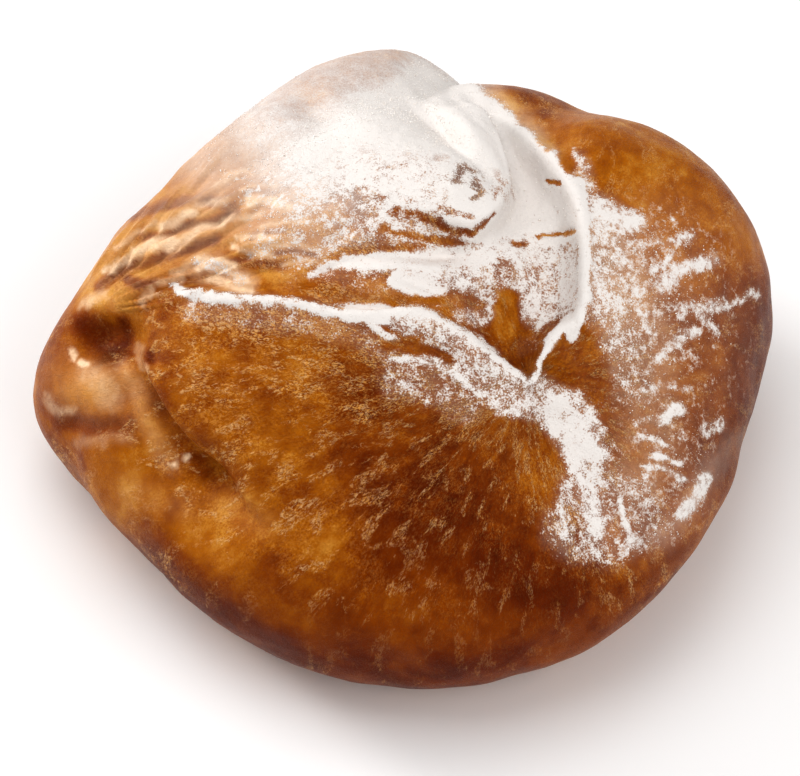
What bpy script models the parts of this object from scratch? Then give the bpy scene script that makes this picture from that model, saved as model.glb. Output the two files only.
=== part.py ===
"""A folded sweet bun, one solid of baked dough that stands on its flat underside.

Rounded lobes of dough give the main form. The folds are then pressed and raised on it along paths,
and the fine mesh is thinned at the end, so that the small faces stay where the folds are.
"""

import math
from typing import NamedTuple

import bmesh
import bpy
import numpy as np
from mathutils import Vector, noise

# The dough's lengths are in millimetres until the mesh is made. Its frame has X to the right, Y to the
# back and Z up from the surface that it stands on.
MM = 0.001

# Each lobe of dough is an ellipsoid: its centre, its half sizes, and its turn about Z in degrees.
LOBES = {
    "middle": ((-0.5, -3.5, 20.0), (53.0, 42.0, 41.0), 0.0),
    "front": ((3.5, -17.5, 20.5), (44.5, 38.0, 28.5), 7.0),
    "right": ((22.0, 6.0, 22.5), (35.0, 30.5, 35.5), 12.0),
    "flap": ((-15.5, 18.0, 20.5), (42.0, 20.0, 35.0), 58.0),
    "crown": ((-11.0, 9.5, 24.0), (29.5, 25.5, 35.5), 34.0),
    "nose": ((-37.0, -3.0, 17.5), (21.0, 16.0, 20.0), 9.0),
    "roll": ((-21.0, -20.5, 15.5), (27.0, 15.0, 17.0), -35.0),
    "tail": ((-30.0, 4.5, 17.0), (24.0, 13.0, 17.5), 30.0),
    "back": ((12.5, 23.0, 19.5), (27.0, 24.0, 31.5), 0.0),
}
HEART = np.array((1.0, -2.4, 18.0))  # inside every fold, where the lobes are measured from
LOBE_BLEND = 5.0  # how wide the dough rounds off where two lobes meet

# The folds are placed as they are seen from above the front of the bun. Their paths are in pixels of
# the reference photograph, and these values say where a point of the dough shows there.
VIEW_TILT = math.radians(50.0)  # how far the view looks down
VIEW_DISTANCE = 457.0
VIEW_AIM = np.array((-1.0, -7.9, 24.0))  # the point of the dough's frame at the picture's middle
PICTURE_MIDDLE = np.array((400.0, 388.0))
PIXEL = 0.1523  # millimetres of dough in one pixel, at VIEW_DISTANCE
AWAY = np.array((0, math.cos(VIEW_TILT), -math.sin(VIEW_TILT)))
UP = np.array((0, math.sin(VIEW_TILT), math.cos(VIEW_TILT)))
GRAZING = -0.1  # the folds end where the dough turns this far past edge-on, as a cosine
EASED_TURN = 0.3  # and they are whole where it has turned this much more towards the view
FRONT = np.array((1, 1, 1))
BACK = np.array((-1, -1, 1))  # a half turn about Z, which brings the back of the bun to the view

# The slow swells of the dough's skin: how high they are and how far apart.
SWELLS = ((0.9, 19.0), (0.35, 7.5))

CRUST_COLOUR = (0.43, 0.17, 0.035, 1.0)
CRUST_ROUGHNESS = 0.45

FINE_SUBDIVISIONS = 8  # of the sphere that the dough is pressed from
SOFTENING = 0.5
SOFTENING_PASSES = 3  # over the fine mesh, so that each fold's edge is rounded like risen dough
MOST_TRIANGLES = 11500

SAMPLES_PER_LEG = 8  # of a path, between two of its points
FARTHEST = 20.0  # beyond this distance from its path, a fold raises nothing
OUTER_SIDE = 3.0  # a lip slopes this many times as wide to its outer side as to the hollow beside it


def ease(x):
    x = np.clip(x, 0, 1)
    return x * x * (3 - 2 * x)


def unit(vectors):
    return vectors / np.linalg.norm(vectors, axis=1)[:, None]


def turn_about_z(degrees):
    cosine, sine = math.cos(math.radians(degrees)), math.sin(math.radians(degrees))
    return np.array(((cosine, sine, 0), (-sine, cosine, 0), (0, 0, 1)))


def lobe_reach(directions, centre, half_sizes, turn):
    """How far the lobe reaches from HEART along each direction, or 0 where it isn't met."""
    into_lobe = turn_about_z(turn)
    along = directions @ into_lobe.T / half_sizes
    offset = into_lobe @ (np.array(centre) - HEART) / half_sizes
    square, middle = (along**2).sum(axis=1), along @ offset
    inside_root = middle**2 - square * (offset @ offset - 1)
    met = inside_root > 0
    return np.where(met, (middle + np.sqrt(np.where(met, inside_root, 0))) / square, 0)


def soft_maximum(a, b, blend):
    near = np.maximum(blend - np.abs(a - b), 0) / blend
    return np.maximum(a, b) + near**2 * blend / 4


def risen(directions):
    """The dough before folding: where each direction from HEART leaves the lobes, run together."""
    reach = np.zeros(len(directions))
    for centre, half_sizes, turn in LOBES.values():
        reach = soft_maximum(reach, lobe_reach(directions, centre, half_sizes, turn), LOBE_BLEND)
    return HEART + directions * reach[:, None]


def in_picture(points):
    """Where each point shows in the photograph, in pixels."""
    from_eye = points - (VIEW_AIM - AWAY * VIEW_DISTANCE)
    scale = VIEW_DISTANCE / (from_eye @ AWAY) / PIXEL
    return PICTURE_MIDDLE + np.stack((from_eye[:, 0] * scale, -(from_eye @ UP) * scale), axis=1)


def through(path):
    """A smooth line through the path's points, as closely spaced samples (Catmull-Rom)."""
    path = np.array(path, float)
    ends = np.concatenate((2 * path[:1] - path[1:2], path, 2 * path[-1:] - path[-2:-1]))
    t = np.linspace(0, 1, SAMPLES_PER_LEG, endpoint=False)[:, None]
    legs = [
        b + 0.5 * t * (c - a + t * (2 * a - 5 * b + 4 * c - d + t * (3 * (b - c) + d - a)))
        for a, b, c, d in zip(ends, ends[1:], ends[2:], ends[3:])
    ]
    return np.concatenate((*legs, path[-1:]))


def beside_line(seen, line):
    """For each point: its distance from the line in pixels, positive to the right of someone who
    walks along it, and how far along the line it lies, from 0 to 1."""
    nearest = np.full(len(seen), np.inf)
    signed, along = np.zeros(len(seen)), np.zeros(len(seen))
    lengths = np.linalg.norm(np.diff(line, axis=0), axis=1)
    walked = np.concatenate(((0,), np.cumsum(lengths)))
    for start, end, length, before in zip(line, line[1:], lengths, walked):
        way = (end - start) / length
        off = seen - start
        share = np.clip(off @ way, 0, length)
        distance = np.linalg.norm(off - share[:, None] * way, axis=1)
        closer = distance < nearest
        side = np.sign(way[0] * off[:, 1] - way[1] * off[:, 0])
        signed = np.where(closer, side * distance, signed)
        along = np.where(closer, (before + share) / walked[-1], along)
        nearest = np.where(closer, distance, nearest)
    return signed, along


def beside(seen, path):
    """The same from a path, in millimetres, and infinite for the points farther off than any fold."""
    line = through(path)
    margin = FARTHEST / PIXEL
    close = ((seen > line.min(axis=0) - margin) & (seen < line.max(axis=0) + margin)).all(axis=1)
    signed, along = np.full(len(seen), np.inf), np.zeros(len(seen))
    signed[close], along[close] = beside_line(seen[close], line)
    return signed * PIXEL, along


def fading(along, fade_in, fade_out):
    """1 along the middle of a path, easing to 0 over the given shares at its two ends."""
    return ease(along / fade_in) * ease((1 - along) / fade_out)


class Crease(NamedTuple):
    """A groove along a path, or a thin pinched edge where its height is positive."""

    path: tuple
    height: float
    width: float
    fade_in: float = 0.15
    fade_out: float = 0.15

    def raised(self, seen):
        distance, along = beside(seen, self.path)
        shape = np.exp(-((distance / self.width) ** 2))
        return self.height * shape * fading(along, self.fade_in, self.fade_out)


class Lip(NamedTuple):
    """The edge of a fold that lies over the dough to the left of its path. It stands up by lift and
    falls by drop within width, and the dough beside it comes back up over reach."""

    path: tuple
    lift: float
    drop: float
    width: float
    reach: float
    fade_in: float = 0.15
    fade_out: float = 0.15

    def raised(self, seen):
        distance, along = beside(seen, self.path)
        slope = np.where(distance > 0, OUTER_SIDE * self.width, self.width)
        crest = self.lift * np.exp(-((distance / slope) ** 2))
        hollow = np.exp(-((np.minimum(distance + self.width, 0) / self.reach) ** 2))
        fall = self.drop * ease(-distance / self.width) * hollow
        return (crest - fall) * fading(along, self.fade_in, self.fade_out)


class Swelling(NamedTuple):
    """A round rise, or a dent where its height is negative. Its turn runs clockwise as it is seen."""

    centre: tuple
    half_sizes: tuple
    turn: float
    height: float

    def raised(self, seen):
        off = (seen - np.array(self.centre)) * PIXEL
        share = off @ turn_about_z(self.turn)[:2, :2].T / self.half_sizes
        return self.height * np.exp(-(share**2).sum(axis=1))


# The paths of the folds that show from the front. Each lip's fold lies to the right of its path.
FRONT_LIP = (
    (136, 309), (178, 295), (262, 301), (305, 305), (350, 315), (388, 313), (420, 311), (448, 321),
    (480, 340), (504, 361), (530, 386),
)
LIP_FOOT = ((310, 294), (357, 303), (400, 302), (440, 311), (468, 324), (492, 343), (519, 370))
LIP_STEP = ((375, 328), (400, 343), (446, 357), (475, 373), (505, 396))
RIGHT_LIP = (
    (577, 337), (582, 290), (583, 235), (577, 198), (565, 172), (545, 143), (518, 118), (490, 98),
)
TUCK = ((580, 316), (562, 330), (547, 345), (539, 361), (527, 394))
SEAM = ((524, 384), (550, 425), (575, 465), (600, 510), (625, 560))
SIDE_FOLD = ((285, 528), (245, 494), (204, 446), (183, 419), (163, 387), (140, 352), (126, 325))
KNOT_EDGE = (
    (440, 84), (476, 112), (498, 140), (508, 166), (507, 190), (493, 214), (468, 227), (446, 222),
    (420, 213), (385, 208),
)
KNOT_SWIRL = ((412, 84), (424, 104), (440, 130), (468, 156), (487, 174), (480, 200))
SHOULDER = ((404, 62), (422, 74), (446, 94), (472, 112))
WEDGE_CREASE = ((285, 276), (318, 262), (345, 251), (380, 248), (430, 244), (480, 230))
FLOOR_CREASE = ((390, 268), (420, 278), (450, 288), (480, 300), (505, 325))
FLAP_CREASES = (
    ((92, 306), (108, 283), (139, 264), (181, 246), (226, 231), (268, 222)),
    ((128, 256), (152, 238), (188, 227), (230, 214), (285, 200)),
    ((150, 285), (200, 268), (250, 262), (300, 248), (333, 230), (366, 222)),
    ((150, 215), (200, 180), (262, 150), (330, 130)),
)
# Those that show from behind, as the same view sees them once the bun has made a half turn.
BACK_LIP = ((322, 180), (338, 230), (358, 286), (386, 346), (411, 406))
BACK_PLEATS = (
    ((535, 166), (563, 226), (581, 291), (585, 356)),
    ((465, 191), (487, 251), (509, 311), (522, 376)),
    ((249, 216), (249, 276), (259, 326), (277, 376)),
)


def folds_in_front():
    """The front dome's lip and the right one's meet over a hollow, under the knotted end of the flap."""
    return (
        Lip(FRONT_LIP, lift=1.4, drop=2.4, width=1.6, reach=8.0, fade_in=0.2, fade_out=0.1),
        Crease(LIP_FOOT, height=-1.2, width=1.4),
        Crease(LIP_STEP, height=-0.9, width=1.4),
        Lip(RIGHT_LIP, lift=0.6, drop=3.0, width=1.8, reach=8.0, fade_in=0.1, fade_out=0.25),
        Crease(RIGHT_LIP, height=1.2, width=1.3, fade_in=0.06, fade_out=0.35),
        Crease(TUCK, height=1.6, width=1.5),
        Crease(SEAM, height=-2.6, width=5.0, fade_in=0.3, fade_out=0.4),
        Swelling((508, 315), half_sizes=(10.0, 6.0), turn=50.0, height=-4.0),
        Swelling((546, 205), half_sizes=(5.5, 17.0), turn=0.0, height=-2.5),
        Lip(KNOT_EDGE, lift=1.2, drop=3.2, width=1.4, reach=4.0, fade_in=0.3, fade_out=0.3),
        Crease(KNOT_SWIRL, height=-0.9, width=1.6),
        Crease(SHOULDER, height=-1.0, width=2.4, fade_in=0.3),
        Swelling((422, 160), half_sizes=(14.0, 8.0), turn=25.0, height=2.5),
        Crease(WEDGE_CREASE, height=-1.5, width=1.4),
        Crease(FLOOR_CREASE, height=-1.1, width=1.3),
        Swelling((395, 289), half_sizes=(9.0, 2.6), turn=8.0, height=1.2),
        *(Crease(path, height=-1.3, width=1.5) for path in FLAP_CREASES),
        Lip(SIDE_FOLD, lift=1.0, drop=3.6, width=3.0, reach=8.0, fade_in=0.3, fade_out=0.2),
        Swelling((108, 336), half_sizes=(5.0, 3.5), turn=-20.0, height=-4.5),
        Swelling((150, 352), half_sizes=(2.5, 2.0), turn=0.0, height=-1.2),
        Swelling((214, 474), half_sizes=(5.5, 3.5), turn=40.0, height=-2.5),
    )


def folds_behind():
    """The flap's edge runs on down the back and fades, between a few soft pleats."""
    return (
        Lip(BACK_LIP, lift=0.8, drop=2.2, width=2.6, reach=9.0, fade_in=0.35, fade_out=0.4),
        *(Crease(path, height=-1.4, width=3.2, fade_in=0.4, fade_out=0.45) for path in BACK_PLEATS),
    )


def unevenness(points):
    return np.array([
        sum(height * noise.noise(Vector(point) / apart) for height, apart in SWELLS)
        for point in points
    ])


def raised(points, normals):
    """How far the folds and the unevenness together raise each point, in millimetres."""
    height = unevenness(points)
    for turned, folds in ((FRONT, folds_in_front()), (BACK, folds_behind())):
        shown = ease((-(normals * turned) @ AWAY - GRAZING) / EASED_TURN)
        there = shown > 0
        seen = in_picture(points[there] * turned)
        height[there] += sum(fold.raised(seen) for fold in folds) * shown[there]
    return height


def vectors_of(items, field):
    values = np.empty(len(items) * 3)
    items.foreach_get(field, values)
    return values.reshape(-1, 3)


def fine_dough():
    """The bun's fine mesh, in metres, with the middle of its box over the origin."""
    sphere = bmesh.new()
    bmesh.ops.create_icosphere(sphere, subdivisions=FINE_SUBDIVISIONS, radius=1.0)
    mesh = bpy.data.meshes.new("pastry")
    sphere.to_mesh(mesh)
    sphere.free()
    points = risen(unit(vectors_of(mesh.vertices, "co")))
    mesh.vertices.foreach_set("co", points.ravel())
    mesh.update()
    normals = vectors_of(mesh.vertex_normals, "vector")
    points += normals * raised(points, normals)[:, None]
    points[:, 2] = np.maximum(points[:, 2], 0)
    middle = (points.min(axis=0) + points.max(axis=0)) / 2
    points[:, :2] -= middle[:2]
    mesh.vertices.foreach_set("co", (points * MM).ravel())
    mesh.update()
    return mesh


def crust():
    """Baked dough: golden brown, with a satin skin."""
    material = bpy.data.materials.new("crust")
    material.use_nodes = True
    shader = material.node_tree.nodes["Principled BSDF"]
    shader.inputs["Base Color"].default_value = CRUST_COLOUR
    shader.inputs["Roughness"].default_value = CRUST_ROUGHNESS
    shader.inputs["Metallic"].default_value = 0.0
    return material


def pastry():
    mesh = fine_dough()
    mesh.materials.append(crust())
    mesh.shade_smooth()
    bun = bpy.data.objects.new("pastry", mesh)
    soften = bun.modifiers.new("soften", "SMOOTH")
    soften.factor = SOFTENING
    soften.iterations = SOFTENING_PASSES
    thin = bun.modifiers.new("thin", "DECIMATE")
    thin.ratio = MOST_TRIANGLES / len(mesh.polygons)
    return bun


def main():
    for old in list(bpy.data.objects):
        bpy.data.objects.remove(old)
    folder = bpy.data.collections.new("folded_bun")
    bpy.context.scene.collection.children.link(folder)
    folder.objects.link(pastry())


main()
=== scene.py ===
"""The looks of the folded sweet bun: a finely wrinkled crust with icing sugar lying on its folds.

The CAD bun is copied, smoothed, and given its finer folds and a coat of sugar. What lies where is
painted with strokes, whose places are pixels of the reference photograph. The strokes are kept on the
mesh as values, mostly between 0 and 1, and the material breaks them up into grains and blotches. Some
strokes paint shade, highlights and sheen into the colours.
"""

import math
from typing import NamedTuple

import bmesh
import bpy
import numpy as np
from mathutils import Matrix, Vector, noise


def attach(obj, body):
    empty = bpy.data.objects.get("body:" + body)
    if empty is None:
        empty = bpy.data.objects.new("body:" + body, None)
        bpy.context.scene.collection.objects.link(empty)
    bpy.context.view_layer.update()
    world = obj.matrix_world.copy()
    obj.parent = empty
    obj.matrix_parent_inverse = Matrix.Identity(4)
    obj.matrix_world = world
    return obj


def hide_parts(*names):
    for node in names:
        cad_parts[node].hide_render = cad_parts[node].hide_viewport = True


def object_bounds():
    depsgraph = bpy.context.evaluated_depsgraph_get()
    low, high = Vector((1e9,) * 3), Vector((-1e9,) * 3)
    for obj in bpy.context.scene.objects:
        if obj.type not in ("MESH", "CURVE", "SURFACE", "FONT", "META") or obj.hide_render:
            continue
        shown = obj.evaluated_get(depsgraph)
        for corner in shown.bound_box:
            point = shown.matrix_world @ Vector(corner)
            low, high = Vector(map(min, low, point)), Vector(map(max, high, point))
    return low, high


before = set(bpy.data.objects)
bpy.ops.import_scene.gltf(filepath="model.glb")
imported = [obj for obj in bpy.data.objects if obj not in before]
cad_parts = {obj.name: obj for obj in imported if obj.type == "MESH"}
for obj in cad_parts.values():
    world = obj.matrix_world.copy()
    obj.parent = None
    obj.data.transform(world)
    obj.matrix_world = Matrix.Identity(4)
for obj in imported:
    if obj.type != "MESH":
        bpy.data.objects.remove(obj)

CAD_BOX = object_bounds()

# Lengths are in millimetres until a mesh is made.
MM = 0.001

# The camera of the photograph, and where it shows a point of the bun.
VIEW_TILT = math.radians(50.0)  # how far it looks down
VIEW_DISTANCE = 457.0
VIEW_AIM = np.array((-0.6, -7.55, 24.0))  # the point of the bun at the picture's middle
PICTURE_MIDDLE = np.array((400.0, 388.0))
PICTURE_WIDTH = 800
LENS, SENSOR = 135.0, 36.0
PIXEL = VIEW_DISTANCE * SENSOR / LENS / PICTURE_WIDTH  # millimetres of the bun in one pixel
AWAY = np.array((0, math.cos(VIEW_TILT), -math.sin(VIEW_TILT)))
UP = np.array((0, math.sin(VIEW_TILT), math.cos(VIEW_TILT)))
FRONT = np.array((1, 1, 1))
BACK = np.array((-1, -1, 1))  # a half turn about Z, which brings the back of the bun to the camera
STROKES_TURN, FOLDS_TURN = 0.15, 0.45  # cosines to the view below which strokes and folds fade out

WELD = 0.001
VOXEL = 0.4
SMOOTHING_PASSES = 10
MOST_TRIANGLES = 190000
SAMPLES_PER_LEG = 6  # of a path, between two of its points


def ease(x):
    x = np.clip(x, 0, 1)
    return x * x * (3 - 2 * x)


def in_picture(points):
    """Where each point shows in the photograph, in pixels."""
    from_eye = points - (VIEW_AIM - AWAY * VIEW_DISTANCE)
    scale = VIEW_DISTANCE / (from_eye @ AWAY) / PIXEL
    return PICTURE_MIDDLE + np.stack((from_eye[:, 0] * scale, -(from_eye @ UP) * scale), axis=1)


def through(path):
    """A smooth line through the path's points, as closely spaced samples (Catmull-Rom)."""
    path = np.array(path, float)
    ends = np.concatenate((2 * path[:1] - path[1:2], path, 2 * path[-1:] - path[-2:-1]))
    t = np.linspace(0, 1, SAMPLES_PER_LEG, endpoint=False)[:, None]
    legs = [
        b + 0.5 * t * (c - a + t * (2 * a - 5 * b + 4 * c - d + t * (3 * (b - c) + d - a)))
        for a, b, c, d in zip(ends, ends[1:], ends[2:], ends[3:])
    ]
    return np.concatenate((*legs, path[-1:]))


def beside_line(seen, line):
    """For each point: its distance from the line, and how far along the line it lies, from 0 to 1."""
    nearest, along = np.full(len(seen), np.inf), np.zeros(len(seen))
    lengths = np.linalg.norm(np.diff(line, axis=0), axis=1)
    walked = np.concatenate(((0,), np.cumsum(lengths)))
    for start, end, length, before in zip(line, line[1:], lengths, walked):
        way = (end - start) / length
        off = seen - start
        share = np.clip(off @ way, 0, length)
        distance = np.linalg.norm(off - share[:, None] * way, axis=1)
        along = np.where(distance < nearest, (before + share) / walked[-1], along)
        nearest = np.minimum(nearest, distance)
    return nearest, along


def beside(seen, path, farthest):
    """The same from a path, in pixels, with an infinite distance for the points that lie farther off."""
    line = through(path)
    close = ((seen > line.min(axis=0) - farthest) & (seen < line.max(axis=0) + farthest)).all(axis=1)
    distance, along = np.full(len(seen), np.inf), np.zeros(len(seen))
    distance[close], along[close] = beside_line(seen[close], line)
    return distance, along


class Crease(NamedTuple):
    """A groove along a path, or a thin pinched edge where its height is positive. Its height and
    width are in millimetres."""

    path: tuple
    height: float
    width: float
    fade: float = 0.2

    def raised(self, seen):
        distance, along = beside(seen, self.path, 4 * self.width / PIXEL)
        shape = np.exp(-((distance * PIXEL / self.width) ** 2))
        return self.height * shape * ease(along / self.fade) * ease((1 - along) / self.fade)


# The waves that bend the pleats: how far, in how many pixels, and how they shift across the fan.
PLEATS_WIND = ((0.9, 31.0, 9), (0.6, 13.0, -17))
PLEATS_SIDE = 0.12  # the share of the fan over which they rise from its sides
PLEATS_START, PLEATS_END = 30, 60  # pixels over which they rise and die away


class Pleats(NamedTuple):
    """Fine ridges that fan out from a point of the picture, between two angles in degrees and two
    distances in pixels."""

    centre: tuple
    angles: tuple
    count: int
    height: float
    reach: tuple

    def raised(self, seen):
        off = seen - np.array(self.centre)
        far = np.linalg.norm(off, axis=1)
        first, last = self.angles
        turned = (np.degrees(np.arctan2(off[:, 1], off[:, 0])) - first) / (last - first)
        winding = sum(bend * np.sin(far / pixels + turned * shift) for bend, pixels, shift in PLEATS_WIND)
        ridge = 0.5 + 0.5 * np.cos(2 * math.pi * turned * self.count + winding)
        broken = 0.55 + 0.45 * np.sin(far / 17.0 + 5 * np.sin(turned * 23))
        sides = ease(turned / PLEATS_SIDE) * ease((1 - turned) / PLEATS_SIDE)
        ends = ease((far - self.reach[0]) / PLEATS_START) * ease((self.reach[1] - far) / PLEATS_END)
        return self.height * (ridge**1.5 - 0.4) * broken * sides * ends


class Swelling(NamedTuple):
    """A round rise, or a dent where its height is negative, by its centre and half size in pixels."""

    centre: tuple
    half_size: float
    height: float

    def raised(self, seen):
        away = np.linalg.norm(seen - np.array(self.centre), axis=1)
        return self.height * np.exp(-((away / self.half_size) ** 2))


class Stroke(NamedTuple):
    """A brush stroke: the value that it paints, half its width and its soft edge in pixels, and its
    path. Later strokes lie over earlier ones."""

    value: float
    half_width: float
    edge: float
    path: tuple

    def painted_over(self, values, seen):
        distance, _ = beside(seen, self.path, self.half_width + self.edge)
        cover = 1 - ease((distance - self.half_width) / self.edge + 0.5)
        return values + (self.value - values) * cover


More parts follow.
